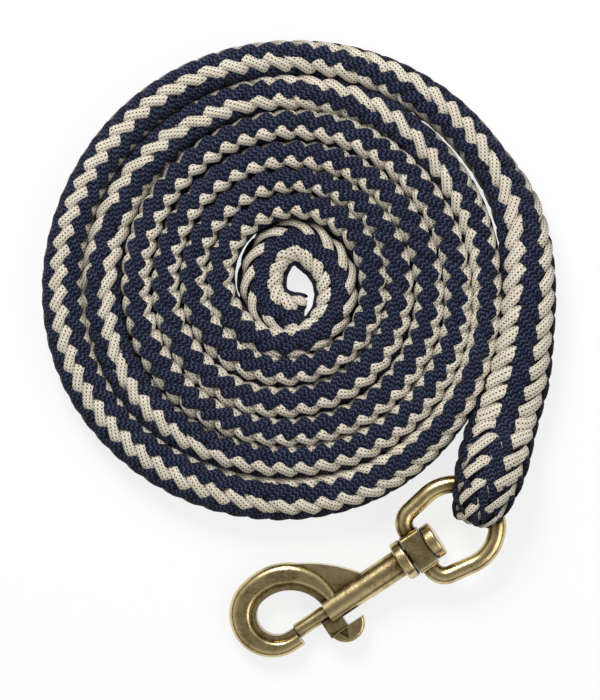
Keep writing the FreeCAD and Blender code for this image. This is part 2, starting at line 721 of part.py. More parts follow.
def smooth_edges(points, height):
    """Straight runs and tangent arcs in turn: each arc is as large as its two runs allow."""
    points = [vec(point.x, point.y, height) for point in points]
    edges = []
    start = points[0]
    for before, corner, after in zip(points, points[1:], points[2:]):
        into = (corner - before).normalize()
        out = (after - corner).normalize()
        turn = into.getAngle(out)
        reach = 0.45 * min((corner - before).Length, (after - corner).Length)
        radius = reach / math.tan(turn / 2)
        print(f"rope bend: {math.degrees(turn):5.1f} degrees, radius {radius:6.1f}")
        inwards = (out - into).normalize()
        sag = radius * (1 / math.cos(turn / 2) - 1)
        enter, leave = corner - into * reach, corner + out * reach
        edges.append(Part.LineSegment(start, enter).toShape())
        edges.append(Part.Arc(enter, corner + inwards * sag, leave).toShape())
        start = leave
    edges.append(Part.LineSegment(start, points[-1]).toShape())
    return edges


def parted_at(edges, run):
    """The path up to the middle of a straight run, and the path from there on."""
    line = edges[2 * run]
    start, end = line.Vertexes[0].Point, line.Vertexes[1].Point
    middle = (start + end) * 0.5
    first = edges[: 2 * run] + [Part.LineSegment(start, middle).toShape()]
    second = [Part.LineSegment(middle, end).toShape()] + edges[2 * run + 1 :]
    return Part.Wire(first), Part.Wire(second)


def tube(path, diameter):
    """Solid rod along a path, checked against its section times its length."""
    start = path.Edges[0].valueAt(path.Edges[0].FirstParameter)
    ahead_of_start = path.Edges[0].tangentAt(path.Edges[0].FirstParameter)
    ring = Part.Wire([Part.makeCircle(diameter / 2, start, ahead_of_start)])
    solid = path.makePipeShell([ring], True, True)
    expected = math.pi * diameter**2 / 4 * path.Length
    if abs(solid.Volume / expected - 1) > 0.01:
        raise RuntimeError("the tube's volume isn't its section times its length")
    return solid


def rope_piece(label, shape):
    piece = doc.addObject("Part::Feature", label)
    piece.Label = label
    piece.Shape = shape
    piece.Placement = FreeCAD.Placement()
    return piece


def build_rope_run():
    """The braid over its buried tail, the tail, and the plain run into the coil."""
    spliced = parted_at(smooth_edges(route(), size("splice_diameter") / 2), TAIL_RUNS)[0]
    plain = parted_at(smooth_edges(route(), size("rope_diameter") / 2), TAIL_RUNS)[1]
    hollow = tube(spliced, value("tail_diameter + 2 * tail_play"))
    rope_piece("rope_splice", tube(spliced, size("splice_diameter")).cut(hollow))
    rope_piece("rope_tail", tube(spliced, size("tail_diameter")))
    rope_piece("rope_run", tube(plain, size("rope_diameter")))


def build_rope_coil():
    """Outer shape of the flat coil: a disc whose edge winds in by one turn, with a step."""
    first = size("coil_start")
    outline = []
    for i in range(COIL_OUTLINE_POINTS + 1):
        part = i / COIL_OUTLINE_POINTS
        half = (1 - part) * size("rope_diameter") / 2 + part * size("second_turn_width") / 2
        outline.append(coil_point(first + 360.0 * part, half))
    curve = Part.BSplineCurve()
    curve.interpolate(outline)
    step = Part.LineSegment(outline[-1], outline[0]).toShape()
    face = Part.Face(Part.Wire([curve.toShape(), step]))
    return rope_piece("rope_coil", face.extrude(vec(0, 0, size("packed_height"))))


def main():
    build_snap_body()
    build_bolt()
    build_thumb_piece()
    build_bolt_spring()
    build_swivel_rivet()
    build_swivel_ring()
    build_rope_eye()
    build_rope_run()
    build_rope_coil()
    doc.recompute()
    for item in doc.Objects:
        if "Invalid" in item.State or "Error" in item.State:
            raise RuntimeError(f"{item.Name} failed: {item.State}")
    os.makedirs("parts", exist_ok=True)
    for node in NODES:
        piece = doc.getObject(node)
        if piece.Shape.isNull() or not piece.Shape.isValid():
            raise RuntimeError(f"{node} has no valid shape")
        piece.Shape.exportStep(f"parts/{node}.step")
        print(f"{node}: {len(piece.Shape.Solids)} solid, {piece.Shape.Volume:.0f} mm3")
    report_places()


def report_places():
    """Prints the box of the snap and ring, and the joints' places and directions."""
    box = FreeCAD.BoundBox()
    for node in METAL_NODES:
        box.add(doc.getObject(node).Shape.optimalBoundingBox(False, False))
    print("metal box", [round(n, 3) for n in (box.XMin, box.YMin, box.ZMin, box.XMax, box.YMax, box.ZMax)])
    axis = snap_place.Rotation.multVec(vec(1, 0, 0))
    print("swivel", tuple(round(n, 4) for n in snap_place.Base), tuple(round(n, 5) for n in axis))
    hinge = polar(1.0, eye_direction + 90.0)
    print("eye", tuple(round(n, 4) for n in eye_centre), tuple(round(n, 5) for n in hinge))


METAL_NODES = ["snap_body", "bolt", "thumb_piece", "bolt_spring", "swivel_rivet", "swivel_ring"]
ROPE_NODES = ["rope_eye", "rope_splice", "rope_tail", "rope_run", "rope_coil"]
NODES = METAL_NODES + ROPE_NODES

main()
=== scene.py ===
import bpy
import math
import numpy as np
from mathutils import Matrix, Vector


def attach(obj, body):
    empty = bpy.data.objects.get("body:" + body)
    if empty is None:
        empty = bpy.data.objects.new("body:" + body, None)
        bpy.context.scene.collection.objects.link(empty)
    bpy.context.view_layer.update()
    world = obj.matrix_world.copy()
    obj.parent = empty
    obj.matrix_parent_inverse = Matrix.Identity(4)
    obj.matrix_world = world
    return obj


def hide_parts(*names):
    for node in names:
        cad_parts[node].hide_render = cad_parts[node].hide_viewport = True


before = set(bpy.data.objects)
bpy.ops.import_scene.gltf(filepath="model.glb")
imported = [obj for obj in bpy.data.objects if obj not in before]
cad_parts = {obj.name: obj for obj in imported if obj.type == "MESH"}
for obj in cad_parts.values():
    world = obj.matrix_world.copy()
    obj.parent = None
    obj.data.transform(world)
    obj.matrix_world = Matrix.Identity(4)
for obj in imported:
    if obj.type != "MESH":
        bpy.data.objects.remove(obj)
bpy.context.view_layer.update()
mm = 0.001
wholeTurn = 2 * math.pi

coil = {
    "centre": (-0.0276, 0.1005),
    "startTurn": 0.0694,  # where the winding takes over from the hand-laid stretch
    "endTurn": 6.125,  # where the innermost curl takes over
    "pointsPerTurn": 16,
    "height": 0.009,  # of the control points, until the section's own height is known
    # middle of the rope: (turn, millimetres from the coil's centre)
    "radii": [(0.0, 84.6), (0.10, 83.4), (0.20, 81.4), (0.33, 80.5), (0.45, 80.6), (0.56, 81.2), (0.66, 77.9),
              (0.75, 76.0), (0.84, 74.9), (0.93, 72.0), (1.0, 69.8), (1.1, 68.8), (1.25, 68.7), (1.35, 67.0),
              (1.5, 67.1), (1.6, 66.6), (1.7, 63.2), (1.83, 62.5), (1.93, 61.8), (2.05, 58.4), (2.25, 56.9),
              (2.4, 54.8), (2.6, 54.3), (2.75, 52.5), (2.92, 51.5), (3.08, 47.8), (3.25, 46.1), (3.5, 44.2),
              (3.67, 43.5), (3.8, 41.0), (4.0, 39.0), (4.25, 37.1), (4.5, 34.3), (4.75, 30.6), (5.0, 30.0),
              (5.25, 28.4), (5.5, 25.0), (5.75, 20.8), (6.0, 16.8), (6.2, 15.0)],
}
rope = {
    "eyeHeight": 0.0119,  # the ring's wire where the rope goes over it
    "eyeTurn": 73.0,  # direction of the rope's legs at the ring, degrees
    "eyeAt": (0.0408, 0.0258),
    # the upright loop round the wire: (distance out from eyeAt, height), from the lower leg over to the upper
    "eyeShape": [(0.021, 0.0045), (0.010, 0.0043), (0.000, 0.0043), (-0.0055, 0.0060), (-0.0075, 0.0119),
                 (-0.0055, 0.0178), (0.001, 0.0190), (0.010, 0.0170), (0.019, 0.0125)],
    "eyeWithin": 0.06,  # the loop's innermost point is within this much of the rope's start
    "eyePast": 0.016,  # past the innermost point by this, the rope follows its own heading
    # the hand-laid stretch, from the eye to the coil
    "route": [(0.0503, 0.0580), (0.0537, 0.0690), (0.0560, 0.0840), (0.0575, 0.1018), (0.0560, 0.1200)],
    # the innermost curl, from the coil's centre
    "curl": [(0.0100, 0.0120), (0.0040, 0.0165), (-0.0040, 0.0150), (-0.0090, 0.0080), (-0.0105, 0.0000),
             (-0.0085, -0.0070), (-0.0025, -0.0110), (0.0050, -0.0115)],
    "laidHeight": 0.0093,
    "diameter": 0.015,
    "length": 2.07,
    "ringSpacing": 0.0011,
}


def turnRadius(turns):
    # a cubic between each two radii with their mean slopes, in metres
    at, r = np.array(coil["radii"]).T
    slope = np.gradient(r, at)
    i = np.clip(np.searchsorted(at, turns, side="right") - 1, 0, len(at) - 2)
    h = at[i + 1] - at[i]
    t = (turns - at[i]) / h
    a, b, p, q = r[i], r[i + 1], slope[i] * h, slope[i + 1] * h
    outer = a * (1 + 2 * t) * (1 - t) ** 2 + p * t * (1 - t) ** 2
    inner = b * t * t * (3 - 2 * t) + q * t * t * (t - 1)
    return mm * (outer + inner)


def coilPoints():
    # polar points round the coil's centre, set out so that the spline's own curve has the radius
    step = 1 / coil["pointsPerTurn"]
    turns = np.arange(coil["startTurn"], coil["endTurn"], step)
    angle = wholeTurn * turns
    radius = turnRadius(turns) / math.cos(math.pi * step)
    x = coil["centre"][0] + radius * np.cos(angle)
    y = coil["centre"][1] + radius * np.sin(angle)
    return np.stack([x, y, np.full_like(x, coil["height"])], axis=1)


def eyePoints():
    # under the ring's wire towards the snap, up and back over it: an upright loop
    turn = math.radians(rope["eyeTurn"])
    out = np.array([math.cos(turn), math.sin(turn)])
    at = np.array(rope["eyeAt"])
    return np.array([[*(at + out * u), z] for u, z in rope["eyeShape"]])


def routeLine():
    # eye, hand-laid stretch, coil and curl as one list of control points
    laid = np.array([[x, y, rope["laidHeight"]] for x, y in rope["route"]])
    curl = np.array([[coil["centre"][0] + x, coil["centre"][1] + y, coil["height"]] for x, y in rope["curl"]])
    return np.vstack([eyePoints(), laid, coilPoints(), curl])


def splineLine(points, name):
    # a NURBS curve through space with those control points, read back as a line of points
    curve = bpy.data.curves.new(name, "CURVE")
    curve.dimensions = "3D"
    spline = curve.splines.new("NURBS")
    spline.points.add(len(points) - 1)
    spline.points.foreach_set("co", np.hstack([points, np.ones((len(points), 1))]).ravel())
    spline.order_u = 3
    spline.use_endpoint_u = True
    spline.resolution_u = 12
    holder = bpy.data.objects.new(name, curve)
    bpy.context.scene.collection.objects.link(holder)
    bpy.context.view_layer.update()
    mesh = bpy.data.meshes.new_from_object(holder.evaluated_get(bpy.context.evaluated_depsgraph_get()))
    line = np.empty(len(mesh.vertices) * 3)
    mesh.vertices.foreach_get("co", line)
    bpy.data.objects.remove(holder)
    bpy.data.meshes.remove(mesh)
    return line.reshape(-1, 3)


def runAlong(line):
    # length from the start to each point
    return np.concatenate([[0], np.cumsum(np.linalg.norm(np.diff(line, axis=0), axis=1))])


def evenly(line, spacing):
    # the same line with points at equal spaces
    run = runAlong(line)
    at = np.linspace(0, run[-1], int(run[-1] / spacing) + 1)
    return np.stack([np.interp(at, run, line[:, k]) for k in range(3)], axis=1), at


def smoothed(values, width):
    # running mean under a raised cosine, with the ends held
    kernel = np.hanning(width + 2)[1:-1]
    kernel /= kernel.sum()
    padded = np.concatenate([np.full(width, values[0]), values, np.full(width, values[-1])])
    return np.convolve(padded, kernel, mode="same")[width:-width]


def unit(vectors):
    # each divided by its length
    return vectors / np.linalg.norm(vectors, axis=-1, keepdims=True)


def ramp(at, pairs):
    # straight lines between (place, value) pairs
    return np.interp(at, [p[0] for p in pairs], [p[1] for p in pairs])


line, run = evenly(splineLine(routeLine(), "ropeLine"), rope["ringSpacing"])
eyeOut = np.array([math.cos(math.radians(rope["eyeTurn"])), math.sin(math.radians(rope["eyeTurn"])), 0])
loopTop = int(np.argmin(np.where(run < rope["eyeWithin"], line @ eyeOut, np.inf)))
legRun = run - run[loopTop]  # along the rope from the innermost point of the eye
turns = np.unwrap(np.arctan2(line[:, 1] - coil["centre"][1], line[:, 0] - coil["centre"][0])) / wholeTurn
turns += round(-turns[loopTop])
print("rope line", len(line), "rings,", round(float(run[-1]), 4), "m, turns", round(float(turns[-1]), 3))

section = {
    # half of the width by turn of the coil, in millimetres: doubled, then single, then squeezed
    "width": [(-0.150, 12.4), (-0.063, 12.2), (-0.043, 11.0), (0.0, 9.9), (0.05, 8.9), (0.083, 7.2),
              (0.15, 6.8), (0.25, 6.2), (0.42, 6.3), (0.55, 7.8), (0.67, 8.2), (0.83, 6.6), (1.0, 5.6),
              (1.2, 6.2), (1.4, 6.4), (1.58, 6.9), (1.7, 5.8), (1.92, 5.4), (2.0, 4.6), (2.2, 5.2),
              (2.33, 4.9), (2.5, 5.0), (2.67, 4.6), (2.8, 5.0), (3.0, 4.8), (3.17, 4.5), (3.3, 4.9),
              (3.67, 4.6), (3.83, 5.5), (4.0, 4.6), (4.5, 4.9), (5.0, 4.6), (5.25, 4.7), (5.5, 5.2),
              (5.75, 6.2), (6.0, 7.9), (6.2, 8.7), (6.6, 8.7), (6.9, 8.4)],
    # the same at the eye, by length from its innermost point
    "eyeWidth": [(-0.030, 11.5), (-0.014, 11.3), (-0.009, 10.0), (-0.005, 8.6), (0.0, 8.0), (0.005, 8.6),
                 (0.009, 10.2), (0.014, 11.9), (0.024, 12.8), (0.034, 12.6)],
    "eyeHeight": [(-0.030, 4.3), (-0.012, 4.3), (0.0, 4.2), (0.008, 4.4), (0.034, 8.8)],
    "eyeRun": 0.034,  # where the eye's widths give way to the splice's
    "buriedTail": [(0.0, 3.6), (0.08, 0.0)],  # how much the tail inside thickens the braid
    "squeeze": (11.75, 0.571),  # half height = first - second x half width
    "corner": 2.35,  # power of the section: 2 is an ellipse
    # turn of the colours' columns about the rope's line, in degrees by turn of the coil
    "columns": [(-0.15, 4), (0.0, 2), (0.083, 45), (0.167, 70), (0.208, 95), (0.29, 132), (0.42, 148),
                (0.70, 151), (0.83, 177), (1.0, 180), (1.083, 196), (1.25, 277), (1.417, 347), (1.5, 386),
                (1.6, 414), (1.7, 433), (1.85, 439), (2.0, 446)],
    "touch": 0.35,  # how far neighbouring turns press into each other, in millimetres
    "touching": (0.20, 5.2),  # turns of the coil between which they do
    "mostSpare": 2.4,  # a wider gap is closed by this much only, in millimetres
    "wander": (452, 17, 0.32),  # from the third turn on: middle, swing, and the turn where it is furthest
    "wanderTurn": 2.0,
    "wanderEnd": 5.8,  # and straight again in the curl
    "wanderFade": 2,  # how quickly, per turn
    # widths of the running means, in rings
    "evenSize": 21,
    "evenHeight": 15,
    "evenColumns": 25,
    "evenHeading": 21,
}


def spareWidth(turn):
    # half of the gap to the next turn in, in millimetres: r(t) - r(t + 1) - w(t) - w(t + 1) + touch
    apart = (turnRadius(turn) - turnRadius(turn + 1)) / mm
    gap = apart - ramp(turn, section["width"]) - ramp(turn + 1, section["width"]) + section["touch"]
    first, last = section["touching"]
    return np.where((turn > first) & (turn < last), np.clip(gap, 0, section["mostSpare"]), 0) / 2


nearEye = legRun < section["eyeRun"]
squeezeFrom, squeezeBy = section["squeeze"]
wound = ramp(turns, section["width"]) + np.maximum(spareWidth(turns), spareWidth(turns - 1))
halfWidth = mm * np.where(nearEye, ramp(legRun, section["eyeWidth"]), wound)
halfHeight = mm * squeezeFrom - squeezeBy * halfWidth + mm * ramp(turns, section["buriedTail"])
halfHeight = np.where(nearEye, mm * ramp(legRun, section["eyeHeight"]), halfHeight)
halfWidth = smoothed(halfWidth, section["evenSize"])
halfHeight = smoothed(halfHeight, section["evenSize"])

# the colours' columns: by the table in the first turns, then swinging about a middle, then straight
middle, swing, furthest = section["wander"]
fade = np.clip((section["wanderEnd"] - turns) * section["wanderFade"], 0, 1)
wander = middle + swing * np.cos(wholeTurn * (turns - furthest)) * fade
columnTurn = np.radians(np.where(turns < section["wanderTurn"], ramp(turns, section["columns"]), wander))
columnTurn = smoothed(columnTurn, section["evenColumns"])

# the wound rope stands on the floor
onFloor = legRun > section["eyeRun"]
line[onFloor, 2] = halfHeight[onFloor]
line[:, 2] = smoothed(line[:, 2], section["evenHeight"])
line[:, 2] = np.maximum(line[:, 2], halfHeight)

# directions along the line: side is level, and follows the rope's heading once past the eye
tangent = unit(np.gradient(line, axis=0))
heading = np.arctan2(tangent[:, 1], tangent[:, 0])
pastEye = int(np.argmax(legRun > rope["eyePast"]))
heading[:pastEye] = math.radians(rope["eyeTurn"])
heading = smoothed(np.unwrap(heading), section["evenHeading"])
side = np.stack([-np.sin(heading), np.cos(heading), np.zeros(len(line))], axis=1)
upward = unit(np.cross(tangent, side))
widest, tallest = float(halfWidth.max()) / mm, float(halfHeight.max()) / mm
print("section", round(widest, 2), "by", round(tallest, 2), "mm half sizes")


def sectionPoint(angle, wide, tall):
    # r = (|cos / wide|^n + |sin / tall|^n)^(-1/n) at atan2(sqrt(tall / wide) sin, cos),
    # which spaces equal steps of angle evenly round the section
    eased = np.arctan2(np.sqrt(tall / wide) * np.sin(angle), np.cos(angle))
    n = section["corner"]
    reach = (np.abs(np.cos(eased) / wide) ** n + np.abs(np.sin(eased) / tall) ** n) ** (-1 / n)
    return reach * np.cos(eased), reach * np.sin(eased)


def tubeMesh(name, grid, length, material, shade=None):
    # quads between neighbouring rings and a fan at each end, with a map of way round by length in cm
    rings, sides = grid.shape[:2]
    vertices = np.vstack([grid.reshape(-1, 3), grid[0].mean(axis=0), grid[-1].mean(axis=0)])
    j = np.arange(sides)
    k = (j + 1) % sides
    base = np.arange(rings - 1)[:, None] * sides
    quads = np.stack([base + j, base + k, base + sides + k, base + sides + j], axis=-1).reshape(-1, 4)
    last = (rings - 1) * sides
    firstFan = np.stack([np.full(sides, rings * sides), k, j], axis=-1)
    lastFan = np.stack([np.full(sides, rings * sides + 1), last + j, last + k], axis=-1)
    corners = np.concatenate([quads.ravel(), firstFan.ravel(), lastFan.ravel()])
    starts = np.concatenate([np.arange(len(quads)) * 4, quads.size + np.arange(2 * sides) * 3])
    mesh = bpy.data.meshes.new(name)
    mesh.vertices.add(len(vertices))
    mesh.vertices.foreach_set("co", vertices.ravel())
    mesh.loops.add(len(corners))
    mesh.loops.foreach_set("vertex_index", corners.astype(np.int32))
    mesh.polygons.add(len(starts))
    mesh.polygons.foreach_set("loop_start", starts.astype(np.int32))
    mesh.update(calc_edges=True)
    mesh.polygons.foreach_set("use_smooth", np.ones(len(starts), dtype=bool))
    around = np.tile(j, rings - 1)[:, None] + np.array([0, 1, 1, 0])
    along = np.repeat(np.arange(rings - 1), sides)[:, None] + np.array([0, 0, 1, 1])
    mapQuads = np.stack([around / sides, length[along] * 100], axis=-1).reshape(-1, 2)
    mapEnds = np.full((len(corners) - quads.size, 2), 0.25)
    mesh.uv_layers.new(name="lay").data.foreach_set("uv", np.vstack([mapQuads, mapEnds]).ravel())
    # the strand's height in the section, stored as "depth" for the yarn's painted seam shade
    if shade is not None:
        depth = mesh.attributes.new("depth", "FLOAT", "POINT")
        depth.data.foreach_set("value", np.concatenate([shade.ravel(), shade[0, :1], shade[-1, :1]]))
    mesh.validate()
    mesh.materials.append(material)
    piece = bpy.data.objects.new(name, mesh)
    bpy.context.scene.collection.objects.link(piece)
    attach(piece, "rope")
    return piece


braid = {
    "strands": 8,  # each way
    "pitch": 0.0576,  # one whole turn of a strand
    "lift": 0.00115,  # how far a strand rises over and dips under
    "bury": 0.00225,  # middle of a strand below the rope's surface
    # blue columns wider than beige ones, by turn
    "favour": [(0.0, 0.0), (0.2, 0.06), (2.0, 0.10), (2.3, 0.30), (5.7, 0.34), (6.0, 0.05)],
    "slow": 0.15,  # a strand runs straighter where it is on top
    "steepness": 2.4,  # how quickly it changes from over to under
    "fullness": {"navy": 1.14, "beige": 1.04},  # width against the room that it has
    "thickness": {"navy": 0.00150, "beige": 0.00140},  # half
    "sides": 10,  # of a strand's oval
    "tips": [0.4, 0.75, 0.92, 1.0],  # taper over the first and last rings
    "leastLean": 0.1,  # keeps a strand's width from vanishing where it runs along the rope
    "evenWidth": 7,  # rings over which that width is evened out
    "roundAbove": 0.0085,  # half height of the rope from which its yarn isn't flattened
    "flattest": 0.5,  # share of a strand's thickness that it always keeps
    "coreDepth": 0.0029,  # of the dark core below the rope's surface
    "coreSides": 16,
}
# yarn is pressed flatter where the rope is: share of its full thickness
flattened = np.clip(halfHeight / braid["roundAbove"], braid["flattest"], 1)


def strandLine(hand, index):
    # angle = hand x wound angle + index x its share + s sin 4(angle - columns) / 4,
    # lift = tanh(k (cos 4(angle - columns) + favour))
    angle = hand * wholeTurn * run / braid["pitch"] + index * wholeTurn / braid["strands"]
    angle = angle + hand * braid["slow"] * np.sin(4 * (angle - columnTurn)) / 4
    steep = braid["steepness"]
    wave = np.tanh(steep * (np.cos(4 * (angle - columnTurn)) + ramp(turns, braid["favour"])))
    lift = (-hand * braid["lift"] * wave - braid["bury"]) * flattened
    x, z = sectionPoint(angle, halfWidth + lift, halfHeight + lift)
    # the second value is the height in the section, which the yarn's material turns into painted seam shade
    return line + side * x[:, None] + upward * z[:, None], z / halfHeight


def makeStrand(kind, hand, index, material):
    # an oval carried along the strand's line, as wide as the strands' spacing leaves room for
    middle, height = strandLine(hand, index)
    along = unit(np.gradient(middle, axis=0))
    outward = middle - line
    outward = unit(outward - (outward * along).sum(axis=1, keepdims=True) * along)
    across = np.cross(along, outward)
    lean = np.sqrt(np.clip(1 - (along * tangent).sum(axis=1) ** 2, braid["leastLean"], 1))
    room = 0.5 * braid["pitch"] / braid["strands"] * smoothed(lean, braid["evenWidth"])
    ends = np.ones(len(line))
    tips = braid["tips"]
    ends[:len(tips)] = tips
    ends[-len(tips):] = tips[::-1]
    t = np.linspace(0, wholeTurn, braid["sides"], endpoint=False)
    half = room * braid["fullness"][kind] * ends
    deep = braid["thickness"][kind] * ends * flattened
    grid = (middle[:, None, :] + across[:, None, :] * (half[:, None] * np.cos(t))[..., None]
            + outward[:, None, :] * (deep[:, None] * np.sin(t))[..., None])
    # painted seam shade: every point round the strand carries the strand's height in the section
    shade = np.repeat(height[:, None], braid["sides"], axis=1)
    return tubeMesh(f"{kind}Strand{index + 1}", grid, runAlong(middle), material, shade)


def newMaterial(name):
    # a material with its nodes and links
    material = bpy.data.materials.new(name)
    material.use_nodes = True
    return material, material.node_tree.nodes, material.node_tree.links


def sums(nodes, links, kind, first, second=0.0, third=None, clamp=False):
    # one Math node; numbers are set and sockets are linked
    node = nodes.new("ShaderNodeMath")
    node.operation = kind
    node.use_clamp = clamp
    for place, source in enumerate([first, second] + ([third] if third is not None else [])):
        if isinstance(source, (int, float)):
            node.inputs[place].default_value = source
        else:
            links.new(source, node.inputs[place])
    return node.outputs[0]


def colourRamp(nodes, links, source, stops):
    # colours at places from 0 to 1, straight between them
    node = nodes.new("ShaderNodeValToRGB")
    links.new(source, node.inputs[0])
    elements = node.color_ramp.elements
    while len(elements) < len(stops):
        elements.new(0.5)
    for element, (place, colour) in zip(elements, stops):
        element.position = place
        element.color = (*colour, 1)
    return node.outputs[0]


def noiseOf(nodes, links, scale, detail=2.0):
    # noise on the object's own coordinates
    place = nodes.new("ShaderNodeTexCoord")
    noise = nodes.new("ShaderNodeTexNoise")
    noise.inputs["Scale"].default_value = scale
    noise.inputs["Detail"].default_value = detail
    links.new(place.outputs["Object"], noise.inputs["Vector"])
    return noise.outputs[0]


# one colour of yarn each: wales round a strand, stitch length in cm, and the shades from pit to crest
# (painted shade in the pits and pinholes, a painted highlight on the crests)
yarn = {
    "navy": {"wales": 6, "stitch": 0.150, "legs": 0.85, "holes": 0.25, "bump": 0.0005, "sheen": 0.04,
             "stops": [(0.0, (0.002, 0.003, 0.010)), (0.5, (0.013, 0.018, 0.046)),
                       (1.0, (0.095, 0.115, 0.180))]},
    "beige": {"wales": 9, "stitch": 0.115, "legs": 0.35, "holes": 1.0, "bump": 0.0003, "sheen": 0.2,
              "stops": [(0.0, (0.030, 0.024, 0.020)), (0.4, (0.48, 0.41, 0.31)), (0.7, (0.70, 0.64, 0.52)),
                        (1.0, (0.93, 0.90, 0.80))]},
}
knit = {
    "level": 0.86,  # of a stitch's crest on the colours' scale
    "slant": 1.1,  # rows by which a stitch's legs are set back at the wale's edge
    "edge": 0.35,  # how much lower the legs are there
    "holePower": 2.2,
    "fuzz": {"scale": 1100, "detail": 3, "share": 0.55},
    "cloud": {"scale": 160, "detail": 2, "share": 0.25},
    "seamFrom": -0.05,  # height in the section at which the painted seam shade is darkest
    # share of the yarn's colour left where the painted seam shade is darkest
    "seamShade": 0.25,
    "seam": 0.62,  # height in the section from which the yarn is out of the painted seam shade
    "rough": 0.9,
    "sheenRough": 0.5,
    "shine": 0.15,
    "bump": 0.9,
}


def knitMaterial(name, look):
    # v stitches: a wave along the strand, set back away from the middle of each wale,
    # and a pinhole where four stitches meet; the colour runs from painted shade in the pits to a painted
    # highlight on the crests
    material, nodes, links = newMaterial(name)
    place = nodes.new("ShaderNodeUVMap")
    place.uv_map = "lay"
    parts = nodes.new("ShaderNodeSeparateXYZ")
    links.new(place.outputs[0], parts.inputs[0])

    def calc(kind, first, second=0.0, third=None, clamp=False):
        return sums(nodes, links, kind, first, second, third, clamp)

    wale = calc("MULTIPLY", parts.outputs[0], look["wales"])
    row = calc("DIVIDE", parts.outputs[1], look["stitch"])
    off = calc("ABSOLUTE", calc("SUBTRACT", calc("FRACT", wale), 0.5))
    slanted = calc("MULTIPLY_ADD", off, knit["slant"], row)
    wave = calc("MULTIPLY_ADD", calc("SINE", calc("MULTIPLY", slanted, wholeTurn)), 0.5, 0.5)
    waleEdge = calc("COSINE", calc("MULTIPLY", calc("SUBTRACT", off, 0.25), wholeTurn))
    legs = calc("MULTIPLY", wave, calc("MULTIPLY_ADD", waleEdge, knit["edge"], 1 - knit["edge"]))
    acrossHole = calc("MULTIPLY_ADD", calc("COSINE", calc("MULTIPLY", wale, wholeTurn)), 0.5, 0.5)
    alongHole = calc("MULTIPLY_ADD", calc("COSINE", calc("MULTIPLY", row, wholeTurn)), 0.5, 0.5)
    hole = calc("POWER", calc("MULTIPLY", acrossHole, alongHole), knit["holePower"])
    level = calc("MULTIPLY_ADD", legs, look["legs"], knit["level"] - look["legs"])
    for grain in (knit["fuzz"], knit["cloud"]):
        uneven = calc("SUBTRACT", noiseOf(nodes, links, grain["scale"], grain["detail"]), 0.5)
        level = calc("MULTIPLY_ADD", uneven, grain["share"], level)
    level = calc("MULTIPLY_ADD", hole, -look["holes"], level, clamp=True)
    # the colours' scale: painted shade at the pits and pinholes, the yarn's own colour in the middle, a
    # painted highlight at the crests
    colour = colourRamp(nodes, links, level, look["stops"])
    # painted seam shade: the colour is darkened on the rope's sides and underside, low in its section, where
    # turns of the coil meet
    seamShadeHeight = nodes.new("ShaderNodeAttribute")
    seamShadeHeight.attribute_name = "depth"
    seam = nodes.new("ShaderNodeMapRange")
    links.new(seamShadeHeight.outputs["Fac"], seam.inputs["Value"])
    seam.inputs["From Min"].default_value = knit["seamFrom"]
    seam.inputs["From Max"].default_value = knit["seam"]
    seam.inputs["To Min"].default_value = knit["seamShade"]
    seam.inputs["To Max"].default_value = 1.0
    paintedSeamShadeMix = nodes.new("ShaderNodeMix")
    paintedSeamShadeMix.data_type = "RGBA"
    paintedSeamShadeMix.blend_type = "MULTIPLY"
    paintedSeamShadeMix.inputs["Factor"].default_value = 1.0
    links.new(colour, paintedSeamShadeMix.inputs["A"])
    links.new(seam.outputs[0], paintedSeamShadeMix.inputs["B"])
    shader = nodes["Principled BSDF"]
    links.new(paintedSeamShadeMix.outputs["Result"], shader.inputs["Base Color"])
    shader.inputs["Roughness"].default_value = knit["rough"]
    shader.inputs["Sheen Weight"].default_value = look["sheen"]
    shader.inputs["Sheen Roughness"].default_value = knit["sheenRough"]
    shader.inputs["Specular IOR Level"].default_value = knit["shine"]
    bump = nodes.new("ShaderNodeBump")
    bump.inputs["Distance"].default_value = look["bump"]
    bump.inputs["Strength"].default_value = knit["bump"]
    links.new(level, bump.inputs["Height"])
    links.new(bump.outputs[0], shader.inputs["Normal"])
    return material


def coreMaterial():
    # the inside of the braid, seen only between strands
    material, nodes, links = newMaterial("ropeCore")
    shader = nodes["Principled BSDF"]
    fibre = colourRamp(nodes, links, noiseOf(nodes, links, 700), [(0.3, (0.002, 0.003, 0.006)),
                                                                  (0.7, (0.010, 0.012, 0.022))])
    links.new(fibre, shader.inputs["Base Color"])
    shader.inputs["Roughness"].default_value = 0.95
    return material


def makeCore():
    # the rope's own section, smaller by the core's depth all round
    angle = np.linspace(0, wholeTurn, braid["coreSides"], endpoint=False)[None, :]
    depth = braid["coreDepth"] * flattened
    x, z = sectionPoint(angle, (halfWidth - depth)[:, None], (halfHeight - depth)[:, None])
    grid = line[:, None, :] + side[:, None, :] * x[..., None] + upward[:, None, :] * z[..., None]
    return tubeMesh("ropeCore", grid, run, coreMaterial())


strands = []
for hand, kind in [(-1, "navy"), (1, "beige")]:
    material = knitMaterial(kind + "Yarn", yarn[kind])
    strands += [makeStrand(kind, hand, index, material) for index in range(braid["strands"])]
core = makeCore()
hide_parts("rope_eye", "rope_splice", "rope_tail", "rope_run", "rope_coil")
print("braid", len(strands), "strands")

brass = {
    "cast": {"light": (0.68, 0.54, 0.28), "mid": (0.30, 0.21, 0.080), "dark": (0.016, 0.010, 0.004),
             "rough": 0.24},
    "bolt": {"light": (0.68, 0.55, 0.29), "mid": (0.33, 0.24, 0.10), "dark": (0.022, 0.014, 0.006),
             "rough": 0.22},
    "paintedShadeWithin": 0.006,  # recesses narrower than this are darkened towards brown as painted shade
    "paintedShadePower": 2.0,
    "mid": 0.62,  # place of the middle shade
    "patches": {"scale": 130, "detail": 4, "middle": 0.52, "share": 1.3},
    "specks": {"scale": 900, "detail": 3, "middle": 0.5, "share": 0.6},
    "wear": {"scale": 300, "detail": 3, "share": 0.2},  # unevenness of the roughness
    "grain": {"scale": 520, "detail": 4, "depth": 0.00012, "strength": 0.6},
}


